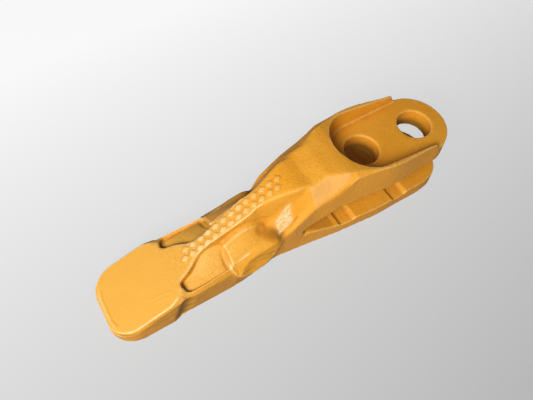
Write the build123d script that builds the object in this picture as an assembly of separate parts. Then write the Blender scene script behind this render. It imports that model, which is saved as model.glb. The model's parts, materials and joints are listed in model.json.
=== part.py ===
"""Bolt-on bucket tooth: one casting, with two straps that clasp the bucket's lip.

Millimetres. The origin is on the rear bolt hole's axis, at the floor of the bolt
channel on the upper strap. +X points to the rear ends of the straps, the digging
tip is towards -X, and +Z is up. The part is the same on both sides of Y = 0.
"""

from build123d import *
import os
from math import cos, radians, sin, tan

# Bolts and straps
BOLT_HOLE_D = 24.0
BOLT_SPACING = 47.0
UPPER_STRAP_T = 14.5
LIP_GAP = 27.5
LOWER_STRAP_T = 12.0
UPPER_END_R = 25.3
UPPER_END_CENTRE_X = -2.2
UPPER_BULGE_HALF_W = 27.2
HEAD_HALF_W = 24.0
LOWER_FRONT_HALF_W = 25.4
LOWER_BULGE_HALF_W = 27.9
LOWER_END_R = 27.7
LOWER_END_CENTRE_X = 1.5

# Channel that keeps the bolt heads from turning
CHANNEL_HALF_W = 22.4
CHANNEL_DRAFT = 8.0
CHANNEL_FLARE = 0.8
WALL_TOP_AT_REAR = 6.0
WALL_TOP_SLOPE = 0.154
WALL_END_X = 1.3
WALL_END_LEAN = 5.0
RIM_L = 2.6
HEAD_CHAMFER = 2.9

# Slot for the lip
SLOT_NOSE_R = 4.5
SLOT_NOSE_AHEAD = 57.0
SLOT_TAPER_L = 22.0

# Grooves across the lower strap's inner face, ahead of each bolt seat
GROOVE_L = 14.5
GROOVE_DEPTH = 2.3
GROOVE_AHEAD = 20.0
GROOVE_END_L = 2.5

# Lengths along the tooth, from the channel's front end to the tip
SHOULDER_L = 49.0
LOBE_L = 36.8
POCKET_L = 31.7
BLADE_L = 50.5

# Blade
TIP_T = 10.7
TIP_HALF_W = 11.5
BLADE_ANGLE = 18.7
BLADE_HALF_W = 25.2
BLADE_SIDE_DRAFT = 1.5
TIP_CORNER_R = 14.5
BEVEL_IN = 1.7
BEVEL_DOWN = 3.6
TIP_FACET_L = 4.6
TIP_FACET_ANGLE = 14.0
NECK_L = 11.0
NECK_IN = 4.4
NECK_CORNER_SLOPE = 16.6

# Flange, spine, pockets and lobes
FLANGE_HALF_W = 23.4
WAIST_HALF_W = 19.4
WAIST_INSIDE = 3.0
LEDGE_H = 25.8
RIM_W = 2.4
RIM_SLOPE = 64.0
RIM_LAND = 0.5
BAND_LEAD = 2.5
SPINE_HALF_W = 7.4
SPINE_DRAFT = 12.0
POCKET_DRAFT = 20.0
POCKET_FLOOR_H = 16.8
POCKET_REAR_H = 35.2
LOBE_HALF_W = 26.9

# Levels and stations worked out from the sizes above
hole_r = BOLT_HOLE_D / 2
front_hole_x = -BOLT_SPACING
lower_top_z = -UPPER_STRAP_T - LIP_GAP
base_z = lower_top_z - LOWER_STRAP_T
ledge_z = base_z + LEDGE_H
channel_front_x = front_hole_x - CHANNEL_HALF_W - RIM_L
valley_x = channel_front_x - SHOULDER_L
lobe_front_x = valley_x - LOBE_L
pocket_front_x = lobe_front_x - POCKET_L
tip_x = pocket_front_x - BLADE_L
head_z = WALL_TOP_AT_REAR - WALL_TOP_SLOPE * channel_front_x
wide = 2 * (LOBE_HALF_W + LOWER_END_R)
tall = 4 * LIP_GAP


def wall_top_z(x):
    """Height of the channel walls' top line at x."""
    return WALL_TOP_AT_REAR - WALL_TOP_SLOPE * x


def blade_top_z(x):
    """Height of the blade's top plane at x."""
    return base_z + TIP_T + (x - tip_x) * tan(radians(BLADE_ANGLE))


def side_slab(*edges):
    """Solid of a closed side profile, right through the part's width."""
    return extrude(make_face(Wire(list(edges))), wide / 2, both=True)


def side_polygon(*points):
    """Solid of a side profile that has straight edges."""
    return side_slab(*Polyline([(x, 0, z) for x, z in points], close=True).edges())


def both_sides(solid):
    """A solid at one side, and its mirror image at the other."""
    return solid + mirror(solid, Plane.XZ)


def cross_section(x, *half):
    """Symmetric section at x, from its right half's (y, z) corners, base first."""
    right = [(x, y, z) for y, z in half]
    left = [(x, -y, z) for y, z in reversed(half) if y > 0]
    return make_face(Polyline(right + left, close=True))


def blade_half(inset, neck_in, z, stretch=1.0):
    """Half outline of the blade, tip to neck: inset from its widest, at level z."""
    half_w = BLADE_HALF_W - inset
    tip_half = TIP_HALF_W + 1 - inset / 2
    corner_x = TIP_CORNER_R
    neck_x = pocket_front_x - tip_x
    stations = [
        (0, 0),
        (0, tip_half),
        (corner_x * 0.34, tip_half + (half_w - tip_half) * 0.64),
        (corner_x, half_w),
        (neck_x - NECK_L - 1.5, half_w),
        (neck_x, FLANGE_HALF_W - neck_in),
    ]
    start, edge, middle, corner, side, neck = [(x * stretch, y, z) for x, y in stations]
    return [
        Line(start, edge),
        ThreePointArc(edge, middle, corner),
        Line(corner, side),
        Line(side, neck),
    ]


def mirrored_face(half):
    """Face inside a half outline that starts and ends on Y = 0, and its mirror."""
    wire = Wire(half)
    return make_face(Wire(list(wire.edges()) + list(mirror(wire, Plane.XZ).edges())))


def blade_plan(height):
    """Closed outline of the blade, flange and waist at a height over the base."""
    z = base_z + height
    waist_x = valley_x - 0.1 * SHOULDER_L
    rear_half = WAIST_HALF_W - WAIST_INSIDE
    front = Pos(tip_x, 0, 0) * Curve(
        children=blade_half(height * tan(radians(BLADE_SIDE_DRAFT)), 0, z)
    )
    half = list(front.edges()) + [
        Line((pocket_front_x, FLANGE_HALF_W, z), (lobe_front_x, FLANGE_HALF_W, z)),
        Spline(
            (lobe_front_x, FLANGE_HALF_W, z),
            (waist_x, WAIST_HALF_W, z),
            tangents=((1, 0, 0), (1, -0.1, 0)),
        ),
        Line((waist_x, WAIST_HALF_W, z), (channel_front_x, rear_half, z)),
        Line((channel_front_x, rear_half, z), (channel_front_x, 0, z)),
    ]
    return mirrored_face(half)


def bevel_plan(inset, level):
    """Outline of the blade's bevel, parallel to the blade's top plane."""
    stretch = 1 / cos(radians(BLADE_ANGLE))
    half = blade_half(inset, inset * NECK_IN / BEVEL_IN, level, stretch)
    neck = half[-1] @ 1
    half.append(Line(neck, (neck.X, 0, level)))
    return mirrored_face(half)


def blade_bevel():
    """Cutter for the bevel round the blade's top edge and the facet at its tip."""
    lean = radians(BLADE_ANGLE)
    top = Plane(
        (tip_x, 0, base_z + TIP_T),
        x_dir=(cos(lean), 0, sin(lean)),
        z_dir=(-sin(lean), 0, cos(lean)),
    )
    kept = loft([bevel_plan(0, -BEVEL_DOWN), bevel_plan(2 * BEVEL_IN, BEVEL_DOWN)], ruled=True)
    length = (pocket_front_x - tip_x) / cos(lean)
    around = Pos(length / 2 - TIP_T, 0, 0) * Box(length + 2 * TIP_T, wide, 2 * BEVEL_DOWN)
    cutter = around - kept
    facet = Pos(TIP_FACET_L, 0, 0) * Rot(0, -TIP_FACET_ANGLE, 0) * Pos(
        -2 * TIP_FACET_L, 0, BEVEL_DOWN
    ) * Box(4 * TIP_FACET_L, wide, 2 * BEVEL_DOWN)
    return top.location * (cutter + facet)


def body_block():
    """Blade, flange and spine as one block: the side profile within the plan."""
    slope = tan(radians(BLADE_ANGLE))
    start_z = blade_top_z(pocket_front_x)
    rise = head_z - start_z
    spine_end_x = valley_x + 0.61 * SHOULDER_L
    top = Spline(
        (pocket_front_x, 0, start_z),
        (lobe_front_x - 0.04 * LOBE_L, 0, start_z + 0.315 * rise),
        (lobe_front_x + 0.52 * LOBE_L, 0, start_z + 0.6 * rise),
        (valley_x - 0.16 * LOBE_L, 0, start_z + 0.735 * rise),
        (valley_x + 0.27 * SHOULDER_L, 0, start_z + 0.882 * rise),
        (spine_end_x, 0, start_z + 0.875 * rise),
        tangents=((1, 0, slope), (1, 0, 0)),
    )
    profile = side_slab(
        Line((tip_x, 0, base_z), (tip_x, 0, base_z + TIP_T)),
        Line((tip_x, 0, base_z + TIP_T), top @ 0),
        top,
        Line(top @ 1, (spine_end_x, 0, base_z)),
        Line((spine_end_x, 0, base_z), (tip_x, 0, base_z)),
    )
    block = profile & loft([blade_plan(0), blade_plan(tall)], ruled=True)
    return block - blade_bevel()


def relief_plan(height):
    """Plan of the space beside the spine, at a height over the ledge."""
    out = height * tan(radians(SPINE_DRAFT))
    z = ledge_z + height
    front_x = pocket_front_x - out
    spine_y = SPINE_HALF_W - out
    rear_x = valley_x + 0.65 * SHOULDER_L
    edge_y = FLANGE_HALF_W
    corner = (front_x + 5.5, edge_y - RIM_W, z)
    inner = Spline(
        (front_x, edge_y - 7.5, z),
        (front_x + 0.24 * POCKET_L, spine_y + 1.6, z),
        (lobe_front_x - 0.28 * POCKET_L, spine_y, z),
        (lobe_front_x + 0.52 * LOBE_L, spine_y + 4.2, z),
        (valley_x - 0.06 * SHOULDER_L, spine_y + 7.1, z),
        tangents=((-0.3, -1, 0), (1, 0.36, 0)),
    )
    bend = (valley_x + 0.26 * SHOULDER_L, spine_y + 12.7, z)
    rear = (rear_x, spine_y + 14.8, z)
    return make_face(
        Wire(
            [
                inner,
                Line(inner @ 1, bend),
                Line(bend, rear),
                Line(rear, (rear_x, wide / 2, z)),
                Line((rear_x, wide / 2, z), (front_x + 5.5, wide / 2, z)),
                Line((front_x + 5.5, wide / 2, z), corner),
                ThreePointArc(corner, (front_x + 1.7, edge_y - RIM_W - 1.7, z), inner @ 0),
            ]
        )
    )


def relief():
    """Cutters at one side: over the ledge, its sloping outer band and the pocket."""
    space = loft([relief_plan(-LEDGE_H), relief_plan(tall - LEDGE_H)], ruled=True)
    above_ledge = split(space, Plane((0, 0, ledge_z)), Keep.TOP)
    ramp = Plane((lobe_front_x, 9, base_z + POCKET_REAR_H), z_dir=(-0.6, 0.75, 1))
    floor_x = pocket_front_x + 0.2 * POCKET_L
    floor = Plane((floor_x, 15, base_z + POCKET_FLOOR_H), z_dir=(-0.28, 0.36, 1))
    pocket = split(split(space, ramp, Keep.TOP), floor, Keep.TOP)
    lean = radians(POCKET_DRAFT)
    rim_y = FLANGE_HALF_W - RIM_W - RIM_LAND
    rim = Plane((0, rim_y, ledge_z), z_dir=(0, cos(lean), -sin(lean)))
    pocket = split(pocket, rim, Keep.BOTTOM)
    return above_ledge, pocket, outer_band(), neck_corner()


def outer_band():
    """Cutter at one side that slopes the flange's rim from the ledge outwards."""
    rim_y = FLANGE_HALF_W - RIM_W
    out_y = rim_y + LEDGE_H / tan(radians(RIM_SLOPE))
    start_x = pocket_front_x - BAND_LEAD
    end_x = valley_x + BAND_LEAD
    triangle = Polyline(
        (start_x, rim_y, ledge_z),
        (start_x, out_y, ledge_z - LEDGE_H),
        (start_x, out_y, ledge_z + BAND_LEAD),
        (start_x, rim_y, ledge_z + BAND_LEAD),
        close=True,
    )
    return extrude(make_face(triangle), end_x - start_x, dir=(1, 0, 0))


def neck_corner():
    """Cutter at one side that lowers the blade's rear corner to the ledge."""
    corner_x = pocket_front_x - 6.5
    slope = radians(NECK_CORNER_SLOPE)
    rim_y = FLANGE_HALF_W - RIM_W
    face = Plane((corner_x, rim_y, ledge_z + RIM_LAND), z_dir=(0, sin(slope), cos(slope)))
    around = Pos(pocket_front_x - 3, FLANGE_HALF_W + 2, ledge_z) * Box(22, 24, LEDGE_H)
    return split(around, face, Keep.TOP)


def lobe():
    """Ear at one side behind the pocket, that falls to a valley at its rear."""
    floor_z = base_z + 4
    faces = []
    for share, wall_h, crease, outer, foot_y in (
        (0.0, 35.5, (20.3, 27.2), (22.6, 21), 22.8),
        (0.22, 40.5, (19.2, 29.4), (LOBE_HALF_W - 0.3, 16), 22.8),
        (0.47, 44.0, (20.0, 30.4), (LOBE_HALF_W, 17.5), 22.8),
        (0.74, 41.0, (20.8, 31.2), (LOBE_HALF_W - 1.1, 23), 21.6),
        (1.0, 34.0, (20.7, 31.4), (21.3, 30), 18.8),
    ):
        x = lobe_front_x + share * LOBE_L
        under = (foot_y, base_z + 7)
        foot = (foot_y, floor_z)
        points = [
            (SPINE_HALF_W - 3, floor_z),
            (SPINE_HALF_W - 3, base_z + wall_h + 1),
            (SPINE_HALF_W + 2, base_z + wall_h),
            (crease[0], base_z + crease[1]),
            (outer[0], base_z + outer[1]),
            under,
            foot,
        ]
        faces.append(make_face(Polyline([(x, y, z) for y, z in points], close=True)))
    return loft(faces)


def shoulder():
    """Mass that rises from the valleys to the head of the upper strap."""
    head = HEAD_HALF_W
    drop = -HEAD_CHAMFER
    faces = []
    for share, base_half, side, brow, edge, crown in (
        (-0.15, 18.2, (20.2, -48.6), (19.6, -46.8), (11.2, -32.2), -32.2),
        (0.14, 20.2, (23.1, -30.1), (18.9, -27.0), (12.2, -15.6), -14),
        (0.44, 21.8, (22.8, -17.1), (18.9, -12.8), (14.5, -6.3), -4.9),
        (0.68, 23.4, (23.6, -12.9), (18.5, -7.0), (13.4, -1.5), -1.2),
        (0.89, 24.7, (23.9, -7.1), (21.4, -3.6), (19.0, -0.1), 0),
        (1.0, LOWER_FRONT_HALF_W, (head, drop), (head - 1.8, drop / 2), (head - 3.6, 0), 0),
    ):
        x = valley_x + share * SHOULDER_L
        right = [(0, -tall), (base_half, -tall)] + [side, brow, edge, (0, crown)]
        points = [(y, max(head_z + h, base_z)) for y, h in right]
        faces.append(cross_section(x, *points))
    return loft(faces, ruled=True)


def strap_plan(z, front_half, bulge_half, centre_x, end_r):
    """Closed outline of a strap at one level, with its round rear end."""
    half = [
        Line((channel_front_x, 0, z), (channel_front_x, front_half, z)),
        Spline(
            (channel_front_x, front_half, z),
            (front_hole_x + 6, bulge_half, z),
            (centre_x, end_r, z),
            tangents=((1, 0.06, 0), (1, 0, 0)),
        ),
        ThreePointArc(
            (centre_x, end_r, z),
            (centre_x + end_r * cos(radians(45)), end_r * sin(radians(45)), z),
            (centre_x + end_r, 0, z),
        ),
    ]
    wire = Wire(half)
    return make_face(Wire(list(wire.edges()) + list(mirror(wire, Plane.XZ).edges())))


def front_half_w(z):
    """Half-width at z where the straps join the shoulder."""
    head_h = head_z - HEAD_CHAMFER - base_z
    return LOWER_FRONT_HALF_W - (LOWER_FRONT_HALF_W - HEAD_HALF_W) * (z - base_z) / head_h


def clasp():
    """Both straps as one drafted block, with the channel walls' sloping top."""
    levels = [
        strap_plan(
            base_z, front_half_w(base_z), LOWER_BULGE_HALF_W, LOWER_END_CENTRE_X, LOWER_END_R
        )
    ]
    for z in (0, tall / 2):
        levels.append(
            strap_plan(z, front_half_w(z), UPPER_BULGE_HALF_W, UPPER_END_CENTRE_X, UPPER_END_R)
        )
    block = loft(levels, ruled=True)
    lean_x = WALL_END_X - WALL_END_LEAN
    rear_x = LOWER_END_CENTRE_X + 2 * LOWER_END_R
    profile = side_polygon(
        (channel_front_x, base_z),
        (channel_front_x, head_z),
        (lean_x, wall_top_z(lean_x)),
        (WALL_END_X, 0),
        (rear_x, 0),
        (rear_x, base_z),
    )
    straps = block & profile
    corner = Vector(channel_front_x, HEAD_HALF_W, head_z - HEAD_CHAMFER)
    for side in (1, -1):
        start = Vector(corner.X, side * corner.Y, corner.Z)
        facet = Plane(start, z_dir=(-0.05, 0.62 * side, 0.8))
        straps = split(straps, facet, Keep.BOTTOM)
    return straps


def lip_slot():
    """Slot between the straps: parallel, then tapered to a round nose in front."""
    nose_x = front_hole_x - SLOT_NOSE_AHEAD
    centre_z = lower_top_z + LIP_GAP * 0.44
    taper_x = nose_x + SLOT_NOSE_R + SLOT_TAPER_L
    rear_x = LOWER_END_CENTRE_X + 2 * LOWER_END_R
    low = (nose_x + SLOT_NOSE_R, 0, centre_z - SLOT_NOSE_R)
    high = (nose_x + SLOT_NOSE_R, 0, centre_z + SLOT_NOSE_R)
    return side_slab(
        ThreePointArc(low, (nose_x, 0, centre_z), high),
        Line(high, (taper_x, 0, -UPPER_STRAP_T)),
        Line((taper_x, 0, -UPPER_STRAP_T), (rear_x, 0, -UPPER_STRAP_T)),
        Line((rear_x, 0, -UPPER_STRAP_T), (rear_x, 0, lower_top_z)),
        Line((rear_x, 0, lower_top_z), (taper_x, 0, lower_top_z)),
        Line((taper_x, 0, lower_top_z), low),
    )


def groove(hole_x):
    """Groove across the lower strap's inner face, ahead of one bolt seat."""
    rear_x = hole_x - GROOVE_AHEAD + GROOVE_L / 2
    front_x = rear_x - GROOVE_L
    floor_z = lower_top_z - GROOVE_DEPTH
    return side_polygon(
        (front_x, lower_top_z + GROOVE_DEPTH),
        (front_x, lower_top_z),
        (front_x + GROOVE_END_L, floor_z),
        (rear_x - GROOVE_END_L, floor_z),
        (rear_x, lower_top_z),
        (rear_x, lower_top_z + GROOVE_DEPTH),
    )


def channel_plan(height):
    """Outline of the bolt channel at a height over its floor, open to the rear."""
    out = height * tan(radians(CHANNEL_DRAFT))
    r = CHANNEL_HALF_W + out
    rear_x = LOWER_END_CENTRE_X + 2 * LOWER_END_R
    rear_half = r + CHANNEL_FLARE * (rear_x - front_hole_x) / BOLT_SPACING
    z = height
    start = (front_hole_x, r, z)
    end = (front_hole_x, -r, z)
    return make_face(
        Wire(
            [
                ThreePointArc(start, (front_hole_x - r, 0, z), end),
                Line(end, (rear_x, -rear_half, z)),
                Line((rear_x, -rear_half, z), (rear_x, rear_half, z)),
                Line((rear_x, rear_half, z), start),
            ]
        )
    )


def tooth_casting():
    """The whole casting."""
    body = body_block()
    for cutter in relief():
        body -= both_sides(cutter)
    body += both_sides(lobe())
    body += shoulder()
    body += clasp()
    body -= lip_slot()
    for hole_x in (front_hole_x, 0):
        body -= groove(hole_x)
    body -= loft([channel_plan(0), channel_plan(tall / 2)], ruled=True)
    for hole_x in (front_hole_x, 0):
        body -= Pos(hole_x, 0, base_z) * Cylinder(hole_r, 2 * tall)
    return body


os.makedirs("parts", exist_ok=True)
casting = tooth_casting()
export_step(casting, "parts/tooth_casting.step")
print("tooth casting: volume", round(casting.volume / 1000, 1), "cm3, valid", casting.is_valid)
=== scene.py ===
# %% [markdown]
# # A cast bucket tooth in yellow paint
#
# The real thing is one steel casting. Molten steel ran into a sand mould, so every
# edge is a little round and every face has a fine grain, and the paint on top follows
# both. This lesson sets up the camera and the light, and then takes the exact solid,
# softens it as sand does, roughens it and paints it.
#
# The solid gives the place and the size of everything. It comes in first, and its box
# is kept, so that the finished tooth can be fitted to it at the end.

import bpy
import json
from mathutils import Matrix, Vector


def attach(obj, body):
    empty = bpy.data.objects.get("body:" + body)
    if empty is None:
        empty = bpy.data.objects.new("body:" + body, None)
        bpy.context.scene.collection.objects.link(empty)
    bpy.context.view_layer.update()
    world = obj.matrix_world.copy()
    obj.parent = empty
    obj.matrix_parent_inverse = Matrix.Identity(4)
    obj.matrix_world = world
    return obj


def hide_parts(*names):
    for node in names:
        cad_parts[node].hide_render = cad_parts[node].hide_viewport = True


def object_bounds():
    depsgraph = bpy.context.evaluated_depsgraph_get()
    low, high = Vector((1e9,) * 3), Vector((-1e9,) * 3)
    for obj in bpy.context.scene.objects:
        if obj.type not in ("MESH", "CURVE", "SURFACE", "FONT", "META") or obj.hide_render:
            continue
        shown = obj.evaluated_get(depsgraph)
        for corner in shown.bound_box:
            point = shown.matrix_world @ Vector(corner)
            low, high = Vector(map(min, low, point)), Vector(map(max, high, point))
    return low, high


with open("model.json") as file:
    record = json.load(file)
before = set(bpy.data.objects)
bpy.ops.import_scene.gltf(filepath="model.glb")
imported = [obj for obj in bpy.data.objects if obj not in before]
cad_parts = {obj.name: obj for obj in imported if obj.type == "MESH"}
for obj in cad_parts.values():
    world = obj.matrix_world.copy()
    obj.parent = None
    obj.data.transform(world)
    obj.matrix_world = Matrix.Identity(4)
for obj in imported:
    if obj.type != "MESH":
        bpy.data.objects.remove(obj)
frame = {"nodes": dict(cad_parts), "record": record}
cad_box = [list(corner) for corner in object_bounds()]

import json
import math

import bpy
import numpy as np
from mathutils import Matrix, Vector, noise

scene = bpy.context.scene
scene.view_settings.view_transform = "Standard"
low, high = (Vector(corner) for corner in cad_box)
print("solid's box in mm:", [round(v * 1000, 1) for v in (*low, *high)])

# %% [markdown]
# ## The camera
#
# The photograph looks down on the tooth from beyond its tip, at about 59 degrees. A
# camera needs a place and three directions. Here they are written as the columns of a
# matrix: right, up and backwards. The lens was found from how much smaller the far
# strap looks than the near tip.

# %% Camera at the photograph's angle
def camera_matrix(place, right, forward):
    right, forward = Vector(right).normalized(), Vector(forward).normalized()
    up = right.cross(forward).normalized()
    columns = (right, up, -forward, Vector(place))
    return Matrix([[c[i] for c in columns] for i in range(3)] + [[0, 0, 0, 1]])


CAMERA_PLACE = (-0.21315, -0.12026, 0.24439)
CAMERA_RIGHT, CAMERA_LOOK = (0.851, -0.522, 0.060), (0.313, 0.413, -0.855)
LENS_MM, SENSOR_MM = 31.18, 36
NEAREST, FARTHEST = 0.01, 20

camera = bpy.data.objects.new("camera", bpy.data.cameras.new("camera"))
camera.data.lens, camera.data.sensor_width = LENS_MM, SENSOR_MM
camera.data.clip_start, camera.data.clip_end = NEAREST, FARTHEST
camera.matrix_world = camera_matrix(CAMERA_PLACE, CAMERA_RIGHT, CAMERA_LOOK)
scene.collection.objects.link(camera)
scene.camera = camera
print("camera looks", round(math.degrees(math.asin(-CAMERA_LOOK[2])), 1), "degrees down")

# %% [markdown]
# ## Light
#
# A studio lights such a part with one large soft box and lets the pale room do the
# rest. The soft box stands low beyond the tip and on the near side: slopes that face
# the tip come out bright, the floor of the bolt channel lies in the head's soft
# shadow, and the far sides stay dark. A larger distance would even this out, so the
# box stands only about three lengths of the tooth away. The room gives little light,
# but the camera sees it pale.

# %% Soft box and a pale room
KEY_PLACE, KEY_AIM = Vector((-0.64, -0.32, 0.50)), Vector((-0.12, 0, -0.02))
KEY_SIZE, KEY_WATTS = 0.34, 7.6
ROOM_LIGHT, ROOM_SEEN = 0.14, 0.8

lamp = bpy.data.lights.new("key_light", "AREA")
lamp.shape, lamp.size, lamp.energy = "SQUARE", KEY_SIZE, KEY_WATTS
key_light = bpy.data.objects.new("key_light", lamp)
key_light.location = KEY_PLACE
key_light.rotation_euler = (KEY_AIM - KEY_PLACE).to_track_quat("-Z", "Y").to_euler()
scene.collection.objects.link(key_light)
room = bpy.data.worlds.new("room")
scene.world = room
room.use_nodes = True
air = room.node_tree.nodes["Background"]
air.inputs["Color"].default_value = (1, 1, 1, 1)
seen = room.node_tree.nodes.new("ShaderNodeLightPath")
level = room.node_tree.nodes.new("ShaderNodeMapRange")
level.inputs["To Min"].default_value = ROOM_LIGHT
level.inputs["To Max"].default_value = ROOM_SEEN
room.node_tree.links.new(seen.outputs["Is Camera Ray"], level.inputs["Value"])
room.node_tree.links.new(level.outputs["Result"], air.inputs["Strength"])

# %% [markdown]
# ## The floor
#
# The tooth lies on its flat underside on a plain sheet. The sheet itself is mid-grey,
# so that it throws little light back under the tooth. To the camera it mostly glows in
# a pale shade that gets slowly darker towards the lower right, and the shadow stays
# soft and pale. The shade is a ramp along one direction of the floor.
#
# Two small helpers come first: one starts a material with nodes, the other joins two
# of its nodes.

# %% Helpers for materials
def new_material(name):
    material = bpy.data.materials.new(name)
    material.use_nodes = True
    return material, material.node_tree


def link(tree, out_node, out_name, in_node, in_name):
    tree.links.new(out_node.outputs[out_name], in_node.inputs[in_name])


sheet_material, tree = new_material("pale_sheet")
print("started", sheet_material.name)

# %% [markdown]
# The shade is read along the direction in which the picture gets dimmer, from the
# place where it is palest to the place where it is dimmest, in metres.

# %% The sheet's material
GREY, GLOW, GLOW_SHARE = 0.36, 1.15, 0.8
PALE, DIM = 0.975, 0.46
DIM_WAY, DIM_FROM, DIM_TO = (0.087, -0.996, 0), -0.26, 0.17

surface = tree.nodes["Principled BSDF"]
surface.inputs["Base Color"].default_value = (GREY, GREY, GREY, 1)
surface.inputs["Roughness"].default_value = 0.9
surface.inputs["Specular IOR Level"].default_value = 0.1
place = tree.nodes.new("ShaderNodeNewGeometry")
along = tree.nodes.new("ShaderNodeVectorMath")
along.operation = "DOT_PRODUCT"
along.inputs[1].default_value = DIM_WAY
span = tree.nodes.new("ShaderNodeMapRange")
span.inputs["From Min"].default_value = DIM_FROM
span.inputs["From Max"].default_value = DIM_TO
shade = tree.nodes.new("ShaderNodeValToRGB")
shade.color_ramp.elements[0].color = (PALE, PALE, PALE, 1)
shade.color_ramp.elements[1].color = (DIM, DIM, DIM, 1)
glow = tree.nodes.new("ShaderNodeEmission")
glow.inputs["Strength"].default_value = GLOW
rays = tree.nodes.new("ShaderNodeLightPath")
share = tree.nodes.new("ShaderNodeMath")
share.operation = "MULTIPLY"
share.inputs[1].default_value = GLOW_SHARE
mixed = tree.nodes.new("ShaderNodeMixShader")
link(tree, place, "Position", along, 0)
link(tree, along, "Value", span, "Value")
link(tree, span, "Result", shade, "Fac")
link(tree, shade, "Color", glow, "Color")
link(tree, rays, "Is Camera Ray", share, 0)
link(tree, share, "Value", mixed, "Fac")
tree.links.new(surface.outputs["BSDF"], mixed.inputs[1])
tree.links.new(glow.outputs["Emission"], mixed.inputs[2])
link(tree, mixed, "Shader", tree.nodes["Material Output"], "Surface")
print("sheet's material has", len(tree.nodes), "nodes")

# %% [markdown]
# The sheet itself is one square face at the height of the solid's lowest point, so
# large that its edges lie far outside the picture.

# %% A pale sheet under the tooth
REACH = 3.0

corners = [(-REACH, -REACH), (REACH, -REACH), (REACH, REACH), (-REACH, REACH)]
sheet = bpy.data.meshes.new("floor")
sheet.from_pydata([(*corner, low.z) for corner in corners], [], [(0, 1, 2, 3)])
floor = bpy.data.objects.new("floor", sheet)
sheet.materials.append(sheet_material)
scene.collection.objects.link(floor)
print("floor at", round(low.z * 1000, 2), "mm")

# %% [markdown]
# ## From solid to casting
#
# The solid's edges are sharp, and its faces are long thin triangles. A voxel remesh
# wraps it in a skin of even little squares, which can then be softened and roughened
# anywhere. The squares are 0.6 mm, fine enough for a crisp edge. The solid's own
# object is left as it is, and this new piece stands for it.

# %% Wrap the solid in an even skin
VOXEL, MERGE = 0.0006, 1e-6


def applied(mesh, *modifiers):
    """A new mesh: the given one after modifiers, each a name, a kind and settings."""
    holder = bpy.data.objects.new("holder", mesh)
    scene.collection.objects.link(holder)
    for name, kind, settings in modifiers:
        modifier = holder.modifiers.new(name, kind)
        for key, value in settings.items():
            setattr(modifier, key, value)
    graph = bpy.context.evaluated_depsgraph_get()
    result = bpy.data.meshes.new_from_object(holder.evaluated_get(graph))
    bpy.data.objects.remove(holder)
    return result


def triangles(mesh):
    return sum(len(face.vertices) - 2 for face in mesh.polygons)


skin = applied(
    frame["nodes"]["tooth_casting"].data.copy(),
    ("weld", "WELD", {"merge_threshold": MERGE}),
    ("wrap", "REMESH", {"mode": "VOXEL", "voxel_size": VOXEL, "adaptivity": 0}),
)
count = len(skin.vertices)
print("skin:", count, "points,", triangles(skin), "triangles")

# %% [markdown]
# ## Working on points
#
# The skin has some 200,000 points, and a plain loop over them would be slow. They are
# read into an array, where a whole step takes one line. Each edge is read as well, in
# both directions, so that every point can find its neighbours.

# %% Read the skin's points and edges
points = np.zeros(count * 3, np.float32)
skin.vertices.foreach_get("co", points)
points = points.reshape(-1, 3).astype(float)
edges = np.zeros(len(skin.edges) * 2, np.int32)
skin.edges.foreach_get("vertices", edges)
edges = edges.reshape(-1, 2)
ends = np.concatenate([edges[:, 0], edges[:, 1]])
others = np.concatenate([edges[:, 1], edges[:, 0]])
degree = np.bincount(ends, minlength=count).astype(float)
lengths = np.linalg.norm(points[edges[:, 0]] - points[edges[:, 1]], axis=1)
print("edges:", len(edges), "mean length", round(float(lengths.mean()) * 1000, 2), "mm")

# %% [markdown]
# The main tool moves every point part of the way to the middle of its neighbours, and
# repeats that: it rounds edges, fills corners and leaves flat faces flat. The others
# move the skin, read where it faces, and make a smooth step from one value to another.

# %% Helpers for the skin's points
def neighbour_mean(values):
    """Mean of the neighbours' values at every point."""
    values = values.reshape(count, -1)
    sums = [np.bincount(ends, values[others, k], count) for k in range(values.shape[1])]
    return (np.stack(sums, 1) / degree[:, None]).squeeze()


def relax(values, rounds, amount=0.5):
    """Values after a number of steps towards the neighbours' mean."""
    for _ in range(rounds):
        values = values + (neighbour_mean(values) - values) * amount
    return values


def move_skin(positions):
    skin.vertices.foreach_set("co", positions.astype(np.float32).ravel())
    skin.update()


def skin_normals():
    """The direction in which the skin faces at every point."""
    found = np.zeros(count * 3, np.float32)
    skin.vertex_normals.foreach_get("vector", found)
    return found.reshape(-1, 3).astype(float)


def between(values, start, end):
    """0 at start, 1 at end, and a smooth change between them."""
    t = np.clip((values - start) / (end - start), 0, 1)
    return t * t * (3 - 2 * t)


print("most neighbours at a point:", int(degree.max()))

# %% [markdown]
# ## Places on the tooth
#
# Most steps below work only in one place: a pocket, the shoulder, a bolt hole's rim.
# A place is a mask from 0 to 1 with a soft border. The numbers are millimetres, and
# a width is measured from the middle plane, so each place exists on both sides. The
# bolt holes' places and radius come from the solid's own record.

# %% Helpers for places
bolts = [mount for mount in frame["record"]["mounts"] if mount["kind"] == "bore"]
hole_xs = [bolt["pos_m"][0] * 1000 for bolt in bolts]
hole_r = bolts[0]["dims"]["r_mm"]


def within(values, start, end, fade):
    """1 from start to end, and 0 where the values are a fade or more beyond."""
    return between(values, start - fade, start) * between(values, end + fade, end)


def box_place(x_range, y_range, z_range, fade=1.5, at=None):
    """1 inside a box that is mirrored across the middle plane, 0 outside it."""
    at = points if at is None else at
    inside = 1.0
    sides = (at[:, 0], np.abs(at[:, 1]), at[:, 2])
    for values, (start, end) in zip(sides, (x_range, y_range, z_range)):
        inside = inside * within(values * 1000, start, end, fade)
    return inside


def ring_place(inner, outer, fade=0.8):
    """1 where the distance from a bolt's axis is between two radii."""
    found = 0.0
    for hole_x in hole_xs:
        radius = np.hypot(points[:, 0] * 1000 - hole_x, points[:, 1] * 1000)
        found = np.maximum(found, within(radius, inner, outer, fade))
    return found


print("bolt holes at x", hole_xs, "with a radius of", hole_r, "mm")

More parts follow.
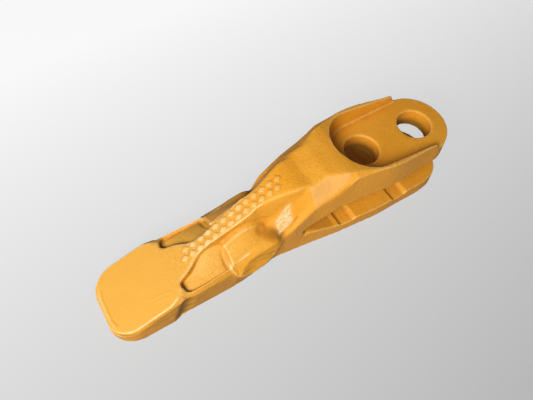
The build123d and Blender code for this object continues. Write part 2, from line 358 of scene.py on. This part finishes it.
# %% [markdown]
# These are the places that are rounded more than the rest, or not at all. A bore is a
# thin ring at the hole's wall, without the hole's middle.

# %% Masks for bores, rims, pockets, shoulder, channel and neck
bore = ring_place(hole_r - 0.8, hole_r + 0.4) * (1 - ring_place(0, hole_r - 2))
rim = ring_place(hole_r - 1, hole_r + 2.5) * box_place((-70, 30), (-1, 30), (-3.2, 1.5))
pocket = box_place((-193, -157.6), (5, 20.6), (-50, -12), 0.5)
shoulder = box_place((-127, -79), (-1, 23.5), (-34, 30), 3)
channel = box_place((-73, 4), (17, 26), (-1, 3.5))
neck = box_place((-194, -187), (19, 27), (-37, -24), 2)
print("points in the pockets:", int((pocket > 0.5).sum()))

# %% [markdown]
# ## Pocket floors
#
# Each pocket's floor is hollow like a scoop: steep at its front end and nearly level
# towards the lobe, and it falls away from the spine. In the solid it is two flat
# faces. Points that lie under the scoop are lifted onto it.

# %% Lift the pocket floors onto a scoop
FOOT_X = [-192, -188, -184, -180.5, -177, -171, -166, -160, -155]
FOOT_Z = [-30.6, -29.6, -28.1, -26.6, -25.1, -22.6, -21.3, -20.3, -19.8]
FALL = [0.05, 0.12, 0.20, 0.30, 0.42, 0.56, 0.64, 0.70, 0.72]
FALL_FROM = 7.0

x, y, z = (points * 1000).T
foot = np.interp(x, FOOT_X, FOOT_Z)
fall = np.interp(x, FOOT_X, FALL)
scoop = foot - fall * (np.abs(y) - FALL_FROM)
lifted = points.copy()
lifted[:, 2] += np.maximum(scoop - z, 0) * pocket / 1000
print("floors rise by up to", round(float((lifted - points)[:, 2].max()) * 1000, 1), "mm")

# %% [markdown]
# ## The pockets' front ends
#
# A pocket's front end is wider and rounder than in the solid, and its outer rim dips
# there. The end's points move forwards along the slope of the face around them, and
# the rim's points move outwards and down.

# %% Widen the pockets' front ends
END_FORWARD, RIM_OUTWARD, RIM_DOWN, FACE_SLOPE = 1.7, 0.7, 1.3, 0.35

width = np.abs(y)
end_move = between(x, -199, -189) * between(x, -177, -188) * between(z, -38, -32)
end_move = end_move * between(width, 7, 13) * between(width, 24.5, 21)
rim_move = between(x, -194, -187) * between(x, -164, -180) * between(z, -35, -31)
rim_move = rim_move * between(width, 17, 20.5) * between(width, 24.5, 21.5)
lifted[:, 0] -= end_move * END_FORWARD / 1000
lifted[:, 1] += rim_move * RIM_OUTWARD * np.sign(y) / 1000
lifted[:, 2] -= (end_move * END_FORWARD * FACE_SLOPE + rim_move * RIM_DOWN) / 1000
print("points moved at the pockets' ends:", int((end_move + rim_move > 0.1).sum()))

# %% [markdown]
# ## The lower strap's rear end
#
# The lower strap ends in a curve that is fuller at its two corners than a half circle.
# Its rim is moved outwards there, most at 45 degrees, and the rest follows less.

# %% Fill the lower strap's corners
END_X, FULLER = 1.5, 1.7

from_end = np.stack([x - END_X, y], 1)
radius = np.linalg.norm(from_end, axis=1)
turn = np.arctan2(np.abs(y), x - END_X)
fill = np.sin(2 * turn) ** 2 * (x > END_X)
fill = fill * between(radius, 18, 27) * between(z, -38, -41.5)
lifted[:, :2] += from_end / np.maximum(radius, 1)[:, None] * fill[:, None] * FULLER / 1000
print("points moved outwards:", int((fill > 0.1).sum()))

# %% [markdown]
# ## Rounding every edge
#
# Sand can't hold a sharp edge, so all of them are rounded to about a millimetre. The
# shoulder and the pockets were shaped by hand on the pattern and flow more softly,
# and the bolt holes' rims have a generous rounding. The bores themselves are true, so
# points in them hardly move.

# %% Round the edges
ROUNDS_ALL_OVER, ROUNDS_IN_PLACES = 2, 26

soft = relax(lifted, ROUNDS_ALL_OVER, (0.5 - 0.3 * bore)[:, None])
gentle = np.maximum.reduce(
    [0.6 * pocket, 0.9 * shoulder, 0.4 * channel, 0.6 * rim, 0.9 * neck]
)
soft = relax(soft, ROUNDS_IN_PLACES, (0.5 * gentle)[:, None])
moved = float(np.abs(soft - lifted).max()) * 1000
print("rounding moved a point by up to", round(moved, 2), "mm")

# %% [markdown]
# ## Hollows and ridges
#
# Hollows are painted darker, as dust and as painted shade, and ridges paler, as polish and as
# painted highlights. Both are found by comparing the skin with a much smoother copy of itself:
# where the smooth copy lies above the skin there is a hollow, and where it lies below there is a
# ridge. The dust and shade spread wide and the highlights are narrow, so ridges are set against a
# less smooth copy.

# %% Find hollows and ridges
HOLLOW_DEPTH, RIDGE_HEIGHT = 0.0009, 0.00013
NEAR_ROUNDS, FAR_ROUNDS = 5, 95

move_skin(soft)
outward = skin_normals()
near_copy = relax(soft, NEAR_ROUNDS)
far_copy = relax(near_copy, FAR_ROUNDS)
hollow = np.clip(relax(((far_copy - soft) * outward).sum(1), 3) / HOLLOW_DEPTH, 0, 1)
ridge = np.clip(((soft - near_copy) * outward).sum(1) / RIDGE_HEIGHT - 0.2, 0, 1)
print("hollow on", round(float(hollow.mean()), 3), "and ridge on", round(float(ridge.mean()), 3))

# %% [markdown]
# ## Worn places
#
# Two kinds of place differ from the rest. In front of the straps, on the slope that
# faces the tip and the light, the casting is deeply pitted, and its paint is paler, as
# chalky paint and as painted glints. On the shoulder above it a flat has been rubbed.
# The rubbed flat is only on the near side, and the pits and their paler paint are
# weaker on the far side.

# %% Masks for worn places
def inside_outline(corners, across, up, fade=0.6):
    """1 inside a convex outline whose corners run anticlockwise, 0 outside it."""
    inside = 1.0
    for (a, b), (c, d) in zip(corners, corners[1:] + corners[:1]):
        gap = ((c - a) * (up - b) - (d - b) * (across - a)) / math.hypot(c - a, d - b)
        inside = inside * between(gap, -fade, fade)
    return inside


PITTED = [(18.8, -20.4), (19.2, -10.3), (12.0, 2.4), (13.0, -12.6)]
FAR_SHARE = 0.4

x, y, z = (soft * 1000).T
pitted = inside_outline(PITTED, np.abs(y), z)
pitted = pitted * box_place((-126, -108), (9, 22), (-24, 5), 1, soft)
pitted = pitted * between(-outward[:, 0], 0.2, 0.4) * np.where(y < 0, 1, FAR_SHARE)
rubbed = box_place((-99, -77), (12, 21), (-2, 17), 2.5, soft)
rubbed = rubbed * between(np.abs(outward[:, 1]), 0.35, 0.55) * (y < 0)
blade = between(x, -186, -198) * between(outward[:, 2], 0.8, 0.92)
print("pitted points:", int((pitted > 0.5).sum()), "rubbed points:", int((rubbed > 0.5).sum()))

# %% [markdown]
# ## Cast grain
#
# Three sizes of unevenness make a sand-cast face: a slow waviness, lumps of a few
# millimetres, and the print of the sand grains. The blade's face is the smoothest and
# the pitted places are the roughest.

# %% Roughen the skin
def bumps(positions, size, seed):
    """Smooth random values from -1 to 1, with lumps of about the given size."""
    shift = Vector((seed * 7.1, seed * 3.3, seed * 5.7))
    return np.array([noise.noise(Vector(p) / size + shift) for p in positions])


WAVES, LUMPS, SAND, PITS = 0.00016, 0.00009, 0.00008, 0.00060
WAVE_SIZE, LUMP_SIZE, SAND_SIZE, PIT_SIZE = 0.014, 0.0045, 0.0021, 0.0022
PIT_EDGE = 0.15

rough = (0.8 - 0.5 * blade - 0.3 * rubbed + 0.8 * pitted) * (1 - 0.8 * bore)
pits = np.minimum(bumps(soft, PIT_SIZE, 4), PIT_EDGE) - PIT_EDGE
height = (
    WAVES * bumps(soft, WAVE_SIZE, 1)
    + LUMPS * rough * bumps(soft, LUMP_SIZE, 2)
    + SAND * rough * bumps(soft, SAND_SIZE, 3)
    + PITS * pitted * pits
)
print("grain is up to", round(float(np.abs(height).max()) * 1000, 2), "mm high")

# %% [markdown]
# ## Raised studs on the spine
#
# Plain diamond-shaped studs stand in two staggered rows along the top of the spine,
# low and with flat tops. Dust and painted shade lie in the narrow moat round each, and
# the studs are painted paler, as polish and painted highlight. A stud is a height that
# falls with the distance from its middle, so it is added to the grain's heights, and
# the skin needs no new faces.

# %% Studs
STUD_HALF_L, STUD_HALF_W, STUD_TALL = 2.6, 2.2, 0.55
STUDS_IN_ROW, FIRST_X, STUD_SPACING, ROW_Y = 13, -181.5, 5.4, 2.5

studs, moats = np.zeros(count), np.zeros(count)
for step in range(STUDS_IN_ROW):
    for row, side in enumerate((-1, 1)):
        middle_x = FIRST_X + STUD_SPACING * (step + row / 2)
        shape = np.abs(x - middle_x) / STUD_HALF_L + np.abs(y - side * ROW_Y) / STUD_HALF_W
        studs = np.maximum(studs, between(shape, 1.1, 0.75))
        moats = np.maximum(moats, between(shape, 1.7, 1.15))
spine_top = between(outward[:, 2], 0.5, 0.75) * between(z, -30, -28)
studs, moats = studs * spine_top, moats * (1 - studs) * spine_top
height = height + studs * STUD_TALL / 1000
print("studs cover", int((studs > 0.3).sum()), "points")

# %% [markdown]
# ## Creases on the lobes
#
# Each lobe has the shape of a leaf. A crease runs along its outer edge and another
# over its top with a shallow dent behind it, a ridge follows its front, and there is a
# groove at that ridge's foot. A crease is a height too, this time over the distance
# from a path along the surface.

# %% Helpers for paths
def path_gap(path):
    """Distance in millimetres from a path of (x, width, z) corners, on both sides."""
    here = np.stack([x, np.abs(y), z], 1)
    nearest = np.full(count, 99.0)
    for start, end in zip(path, path[1:]):
        start, along = np.array(start, float), np.subtract(end, start).astype(float)
        share = np.clip(((here - start) @ along) / (along @ along), 0, 1)
        gap = np.linalg.norm(here - start - share[:, None] * along, axis=1)
        nearest = np.minimum(nearest, gap)
    return nearest


def crease(path, half_w):
    """1 on a path, with straight flanks that reach 0 at half_w beside it."""
    return np.clip(1 - path_gap(path) / half_w, 0, 1)


def line_place(path, edge, core=0):
    """1 within core of a path, falling smoothly to 0 at edge beside it."""
    return between(path_gap(path), edge, core)


print("helpers: path_gap, crease, line_place")

# %% [markdown]
# The paths were chosen on the solid's surface, corner by corner: how far along the
# tooth, how far from its middle plane, and how high.

# %% Leaf creases
LEAF_EDGE = [
    (-155, 23.8, -37), (-151.8, 22.9, -31.6), (-145.8, 21.4, -27.4),
    (-138.4, 21.2, -25.1), (-131, 21.2, -23.6), (-125, 21.0, -22.9),
]
LEAF_TOP = [
    (-157, 8.7, -18), (-151.5, 7.8, -14), (-145, 8.0, -10.5), (-140, 8.4, -9.2),
    (-133.6, 9.4, -11), (-128, 12.8, -17), (-124, 19, -22),
]
LEAF_BACK = [
    (-158, 6.6, -16.8), (-151.5, 5.6, -12.0), (-145, 5.6, -8.5),
    (-140, 6.0, -7.0), (-133.6, 7.0, -8.5), (-126, 8.5, -9.5),
]
LOBE_FRONT = [
    (-157.8, 9, -18.5), (-158.9, 12, -21.6), (-159.3, 17, -25.6),
    (-158.6, 21, -28.8), (-157, 23.2, -34),
]
FRONT_FOOT = [(front_x - 2.1, wide, tall - 1.6) for front_x, wide, tall in LOBE_FRONT[:4]]
EDGE_UP, TOP_UP, BACK_DOWN, FRONT_UP, FOOT_DOWN = 1.3, 1.0, 0.5, 0.8, 0.7

leaf_back = line_place(LEAF_BACK, 3.2, 0.3)
front_edge = line_place(LOBE_FRONT, 1.5)
front_groove = line_place(FRONT_FOOT, 1.7)
leaf = EDGE_UP * crease(LEAF_EDGE, 6.0) + TOP_UP * crease(LEAF_TOP, 3.0) - BACK_DOWN * leaf_back
leaf = relax(leaf, 2) + FRONT_UP * front_edge - FOOT_DOWN * front_groove
print("leaf creases cover", int((leaf > 0.3).sum()), "points")

# %% [markdown]
# ## Dents and the channel's foot line
#
# A valley runs down behind the lobe's crest to the foot of the pitted slope, a groove
# runs from there up the shoulder's edge, and the side is hollow at the neck and where the
# slot for the lip ends. Along the foot of the bolt channel's walls runs a thin raised
# line: round the front bolt's head first, and then straight on to the rear end.

# %% Dents and foot line
VALLEY = [
    (-132.5, 12.6, -13.8), (-130, 14.4, -16.2), (-126, 17.2, -19.3), (-122.8, 19.5, -21.2),
]
EDGE_GROOVE = [(-121.5, 19.6, -19.8), (-115.8, 19.8, -12.8), (-110.5, 19.4, -6.8)]
NECK_GROOVE = [(-192, 24, -38), (-196, 24.6, -50)]
SLOT_GROOVE = [(-104, 22.2, -36.2), (-102, 22.2, -34), (-99, 22, -32.6)]
HEAD_R, FOOT_Y, FOOT_LEVEL = 22.4, 23.2, 0.5
TURNS = [math.radians(angle) for angle in range(180, 89, -9)]
FOOT_LINE = [
    (min(hole_xs) + HEAD_R * math.cos(turn), HEAD_R * math.sin(turn), FOOT_LEVEL)
    for turn in TURNS
] + [(0, FOOT_Y, FOOT_LEVEL)]
VALLEY_DOWN, EDGE_DOWN, NECK_DOWN, SLOT_DOWN, LINE_UP = 1.2, 0.6, 2.3, 0.9, 0.25

valley = line_place(VALLEY, 5.5, 0.5)
# Painted shade spreading round the valley behind the lobe.
valley_shade = line_place(VALLEY, 9.5, 1)
edge_groove = line_place(EDGE_GROOVE, 1.5)
slot_groove = line_place(SLOT_GROOVE, 1.5, 0.3)
neck_groove = line_place(NECK_GROOVE, 7.5) * between(outward[:, 2], 0.75, 0.3)
foot_line = line_place(FOOT_LINE, 1.4, 0.2) * between(z, -1, -0.3) * between(x, 4, 0)
dents = VALLEY_DOWN * valley + EDGE_DOWN * edge_groove
dents = dents + NECK_DOWN * neck_groove + SLOT_DOWN * slot_groove
height = height + (LINE_UP * foot_line - dents) / 1000
print("foot line covers", int((foot_line > 0.3).sum()), "points")

# %% [markdown]
# ## Fine lines
#
# A thin raised line with a groove behind it runs behind the tip's facet, where the
# mould's halves met. A faint hooked line near the neck shows how the metal flowed, on
# the near side only, and each lobe has one short raised streak, which is also given a
# painted highlight. All of them are much finer than the creases and smooth on top.

# %% Lines on the blade and the lobes
TIP_LINE = [(-237.6, 0, -43.2), (-237.6, 9, -43.2), (-236.2, 14, -42.6)]
TIP_GROOVE = [(-235.9, 0, -42.2), (-235.9, 8.5, -42.2), (-234.4, 13.2, -41.6)]
FLOW = [(-212, 12, -33.9), (-199, 14.5, -29.5), (-197.5, 17, -29.1)]
FLOW_HOOK = [(-207, 15.5, -32.2), (-200, 17.3, -29.8)]
STREAK = [(-154.6, 19.9, -26.4), (-145.2, 19.1, -23.5)]
TIP_TALL, FLOW_TALL, STREAK_TALL = 0.4, 0.12, 0.2

flow = (line_place(FLOW, 1.1) + line_place(FLOW_HOOK, 1.0)) * (y < 0)
tip_line, tip_groove = line_place(TIP_LINE, 0.8), line_place(TIP_GROOVE, 0.8)
streak = line_place(STREAK, 1.0)
lines = TIP_TALL * (tip_line - tip_groove) + FLOW_TALL * flow + STREAK_TALL * streak
height = height + (leaf + lines) / 1000
print("lines cover", int((np.abs(lines) > 0.1).sum()), "points")

# %% [markdown]
# ## The finished skin
#
# Every point moves by its height, along the direction in which its surface faces. The
# grain may carry a few points a hair past the solid's box, so the whole skin is then
# fitted to that box, which changes it by less than a hundredth.

# %% Move the skin and fit it to the box
MARGIN = 1e-5

cast = soft + outward * height[:, None]
reached = cast.max(0) - cast.min(0)
allowed = np.array(high - low) - 2 * MARGIN
cast = (cast - cast.min(0)) * (allowed / reached) + np.array(low) + MARGIN
move_skin(cast)
print("fitted to the box by", (allowed / reached).round(4))

# %% [markdown]
# ## Masks for the paint
#
# The paint needs to know where it is. Some of its places are the ones that shaped the
# skin, and others are only painted. The paint is paler on the straps' outer sides, and
# on the spine's rear top that paler paint is painted light in a hollow that would lie
# in shade. Upper faces towards the tip are painted paler as painted light, and the
# front's lower sides and the lobes' outer faces darker as painted shade. Painted shade
# also lies deep in the holes, the valleys, the neck, the slot's end, the pockets' ends
# and on the lower strap's far inner face. Each mask goes onto the points as a named value.

# %% Masks for paler places and for painted light and shade
edge_z = np.interp(x, [corner[0] for corner in LEAF_EDGE], [corner[2] for corner in LEAF_EDGE])
near_axis = np.min([np.hypot(x - hole_x, y) for hole_x in hole_xs], 0)
inside_hole = between(near_axis, hole_r + 1.2, hole_r + 0.4) * between(z, -5, -11)
inside_hole = inside_hole * (1 - 0.4 * between(z, -28, -36))
# Paler paint on the straps' outer sides, and painted light on the spine's rear top.
faded = np.maximum(
    box_place((-95, 30), (20, 30), (-13, 16), 2, soft) * between(np.abs(outward[:, 1]), 0.5, 0.8),
    box_place((-136, -102), (-1, 11), (-22, 14), 6, soft) * between(outward[:, 2], 0.4, 0.7),
)
# Painted highlight on the channel walls' tops.
wall_top_highlight = box_place((-62, 2), (24.3, 29), (1.5, 18), 0.6, soft) * between(outward[:, 2], 0.3, 0.7)
# Painted shade on the lower strap's far inner face.
far_inner_shade = box_place((-42, 12), (9, 30), (-46, -38), 5, soft) * (y > 0)
# Painted shade at the pockets' front ends.
end_shade = box_place((-192, -188), (12, 20), (-36, -31), 1.6, soft)
# Painted shade on the lobes' outer faces and the front's lower sides.
lobe_side_shade = box_place((-157, -124), (19, 30), (-60, -20), 1, soft)
lobe_side_shade = lobe_side_shade * between(z, edge_z + 0.3, edge_z - 1.5)
front_side_shade = between(x, -150, -165) * between(outward[:, 2], 0.5, 0.25)
print("points in the holes:", int((inside_hole > 0.5).sum()))

# %% [markdown]
# A mask often joins several places, each at its own strength. The strongest one wins
# at every point, so that overlapping places don't add up.

# %% Put the masks on the points
def strongest(*places):
    return np.maximum.reduce(places)


masks = {
    # Dust and painted shade in hollows, grooves, moats, the lobes' backs and the valleys.
    "hollow": strongest(
        hollow, valley, 0.9 * edge_groove, 0.6 * tip_groove, front_groove, 0.5 * moats,
        0.55 * leaf_back, 0.65 * valley_shade,
    ),
    # Polish and painted highlights on ridges, studs, the channel's foot line, the tip's line, the
    # lobes' streaks and front edges, and the channel walls' tops.
    "ridge": strongest(
        ridge, 0.5 * studs, 0.7 * foot_line, 0.6 * tip_line, 0.8 * streak, 0.9 * front_edge,
        0.5 * wall_top_highlight,
    ),
    # Painted shade deep in the holes, the valleys, the neck, the slot's end, the pockets' ends and
    # the lower strap's far inner face.
    "deep": strongest(
        inside_hole, 0.85 * valley * between(x, -133, -124), 0.8 * neck_groove,
        0.5 * far_inner_shade, 0.8 * slot_groove, 0.4 * end_shade,
    ),
    "blade": blade,
    # Paler paint, and on the spine's rear top painted light.
    "faded": faded,
    # Painted light: paler paint on upper faces towards the tip.
    "front": between(x, -110, -165) * between(outward[:, 2], 0.35, 0.7),
    # Painted shade on the front's lower sides and the lobes' outer faces.
    "side": strongest(front_side_shade, lobe_side_shade),
    # Chalky paint and painted glints on the pitted slopes.
    "pitted": pitted,
    "rubbed": rubbed,
}
for name, values in masks.items():
    layer = skin.attributes.new(name, "FLOAT", "POINT")
    layer.data.foreach_set("value", values.astype(np.float32))
print("masks:", ", ".join(masks))

# %% [markdown]
# ## Thinning the skin
#
# Triangles go where the surface is even and stay where it turns, until fewer than
# 200,000 are left. The masks travel along. The finished piece takes the solid's place.

# %% Thin and place the skin
MOST_TRIANGLES = 196000

skin = applied(skin, ("thin", "DECIMATE", {"ratio": MOST_TRIANGLES / triangles(skin)}))
skin.shade_smooth()
casting = bpy.data.objects.new("painted_casting", skin)
scene.collection.objects.link(casting)
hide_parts("tooth_casting")
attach(casting, "root")
print("casting:", len(skin.vertices), "points,", triangles(skin), "triangles")

# %% [markdown]
# ## The paint
#
# One coat of yellow-orange paint lies over the grain. Its colour wanders a little, is
# browner in hollows, as dust and painted shade, and paler on ridges, as polish and
# painted highlights; light and shade are painted onto other places too. All of it comes
# from noise and from the masks, so it stays in place from every side. A noise's scale
# is its number of lumps to the metre.

# %% Helpers that read masks and noise
paint, tree = new_material("yellow_paint")
coat = tree.nodes["Principled BSDF"]


def add(kind, **settings):
    node = tree.nodes.new(kind)
    for name, value in settings.items():
        setattr(node, name, value)
    return node


def mask(name):
    return add("ShaderNodeAttribute", attribute_name=name).outputs["Fac"]


def noise_of(scale, detail, stretch=(1, 1, 1)):
    coordinates = add("ShaderNodeTexCoord")
    squeeze = add("ShaderNodeVectorMath", operation="MULTIPLY")
    squeeze.inputs[1].default_value = stretch
    node = add("ShaderNodeTexNoise")
    node.inputs["Scale"].default_value = scale
    node.inputs["Detail"].default_value = detail
    tree.links.new(coordinates.outputs["Object"], squeeze.inputs[0])
    tree.links.new(squeeze.outputs["Vector"], node.inputs["Vector"])
    return node.outputs["Fac"]


print("paint starts with", len(tree.nodes), "nodes")

# %% [markdown]
# Three more helpers join those values: one stretches a range of values to another,
# one multiplies, and one lays a colour over another by an amount.

# %% Helpers that stretch, multiply and blend
def ramp(value, start, end, at_start=0.0, at_end=1.0):
    node = add("ShaderNodeMapRange")
    numbers = {"From Min": start, "From Max": end, "To Min": at_start, "To Max": at_end}
    for name, number in numbers.items():
        node.inputs[name].default_value = number
    tree.links.new(value, node.inputs["Value"])
    return node.outputs["Result"]


def times(first, second):
    node = add("ShaderNodeMath", operation="MULTIPLY")
    for socket, value in zip(node.inputs, (first, second)):
        if isinstance(value, (int, float)):
            socket.default_value = value
        else:
            tree.links.new(value, socket)
    return node.outputs["Value"]


def blend_colour(amount, first, second):
    node = add("ShaderNodeMix", data_type="RGBA")
    tree.links.new(amount, node.inputs["Factor"])
    for index, value in ((6, first), (7, second)):
        if isinstance(value, tuple):
            node.inputs[index].default_value = (*value, 1)
        else:
            tree.links.new(value, node.inputs[index])
    return node.outputs[2]


print("helpers: ramp, times, blend_colour")

# %% [markdown]
# ## Colour of the paint
#
# The layers go on in this order: the paint and its wandering, its paler places, the
# painted light on its front and the painted shade on its sides, fine dark specks in the
# grain, and then dust and painted shade in the hollows and painted shade deep down.

# %% Fresh and paler colours, painted light and painted shade
THICK_PAINT, THIN_PAINT = (0.83, 0.345, 0.022), (0.86, 0.375, 0.032)
PALER_PAINT, LIT_FRONT_PAINT = (0.92, 0.385, 0.026), (0.81, 0.415, 0.064)
SIDE_SHADE, SIDE_SHADE_STREAK = (0.60, 0.255, 0.016), (0.40, 0.19, 0.018)
SPECK, SHADE_AND_DUST, DEEP_SHADE = (0.64, 0.25, 0.018), (0.58, 0.195, 0.012), (0.15, 0.08, 0.009)
ALONG_THE_TOOTH = (0.16, 0.5, 1)

wander = ramp(noise_of(28, 3), 0.35, 0.65)
colour = blend_colour(wander, THICK_PAINT, THIN_PAINT)
# Paler paint, and painted light on the spine's rear top.
colour = blend_colour(times(mask("faded"), 0.85), colour, PALER_PAINT)
# Painted light: paler paint on upper faces towards the tip.
colour = blend_colour(times(mask("front"), 0.85), colour, LIT_FRONT_PAINT)
# Painted shade on the lower sides, with darker streaks.
colour = blend_colour(times(mask("side"), 0.6), colour, SIDE_SHADE)
shade_streaks = ramp(noise_of(420, 2, ALONG_THE_TOOTH), 0.46, 0.64, 0, 0.75)
colour = blend_colour(times(mask("side"), shade_streaks), colour, SIDE_SHADE_STREAK)
speckle = times(ramp(noise_of(900, 2), 0.52, 0.70), ramp(mask("blade"), 0, 1, 0.5, 0.15))
colour = blend_colour(speckle, colour, SPECK)
# Dust and painted shade in the hollows.
dusty_shade = times(mask("hollow"), ramp(noise_of(160, 3), 0.30, 0.62, 0.35, 0.85))
colour = blend_colour(dusty_shade, colour, SHADE_AND_DUST)
# Painted shade deep in holes, valleys and ends.
colour = blend_colour(times(mask("deep"), 0.85), colour, DEEP_SHADE)
print("paint has", len(tree.nodes), "nodes so far")

# %% [markdown]
# Wear and painted highlights come on top of the dust and shade. Ridges are polished and
# carry painted highlights, palest towards the tip where the light falls strongest, the
# flat on the shoulder is rubbed, and the pitted slopes have gone chalky, with painted glints.

# %% Polished and rubbed colours, chalk, and painted highlights and glints
REAR_POLISH_AND_HIGHLIGHT, FRONT_POLISH_AND_HIGHLIGHT = (0.93, 0.53, 0.15), (0.96, 0.78, 0.42)
RUBBED_PAINT, CHALK_AND_GLINT = (0.84, 0.45, 0.14), (0.78, 0.57, 0.28)

# Polish and painted highlights on ridges, palest towards the tip.
highlight_amount = times(mask("ridge"), ramp(noise_of(220, 3), 0.36, 0.60, 0.5, 1.0))
polish_and_highlight_colour = blend_colour(mask("front"), REAR_POLISH_AND_HIGHLIGHT, FRONT_POLISH_AND_HIGHLIGHT)
colour = blend_colour(highlight_amount, colour, polish_and_highlight_colour)
colour = blend_colour(times(mask("rubbed"), 0.6), colour, RUBBED_PAINT)
# Chalky paint and painted glints on the pitted slopes.
chalk_and_glint = times(mask("pitted"), ramp(noise_of(520, 2), 0.38, 0.56, 0.35, 1.0))
colour = blend_colour(chalk_and_glint, colour, CHALK_AND_GLINT)
tree.links.new(colour, coat.inputs["Base Color"])
print("paint has", len(tree.nodes), "nodes so far")

# %% [markdown]
# ## Gloss and the finest grain
#
# The paint is half gloss, and its gloss wanders as its thickness does. Grain finer
# than the skin's triangles is left to a bump, which bends the light and moves nothing.

# %% Gloss and bump
GLOSSIEST, DULLEST = 0.34, 0.50
ROUGH_GRAIN, BLADE_GRAIN, GRAIN_DEPTH = 0.85, 0.35, 0.0004

coat.inputs["IOR"].default_value = 1.5
coat.inputs["Specular IOR Level"].default_value = 0.24
gloss = ramp(noise_of(120, 4), 0.3, 0.7, GLOSSIEST, DULLEST)
tree.links.new(gloss, coat.inputs["Roughness"])
grain = add("ShaderNodeBump")
strength = ramp(mask("blade"), 0, 1, ROUGH_GRAIN, BLADE_GRAIN)
tree.links.new(strength, grain.inputs["Strength"])
grain.inputs["Distance"].default_value = GRAIN_DEPTH
tree.links.new(noise_of(1100, 4), grain.inputs["Height"])
link(tree, grain, "Normal", coat, "Normal")
skin.materials.clear()
skin.materials.append(paint)
print("paint has", len(tree.nodes), "nodes")
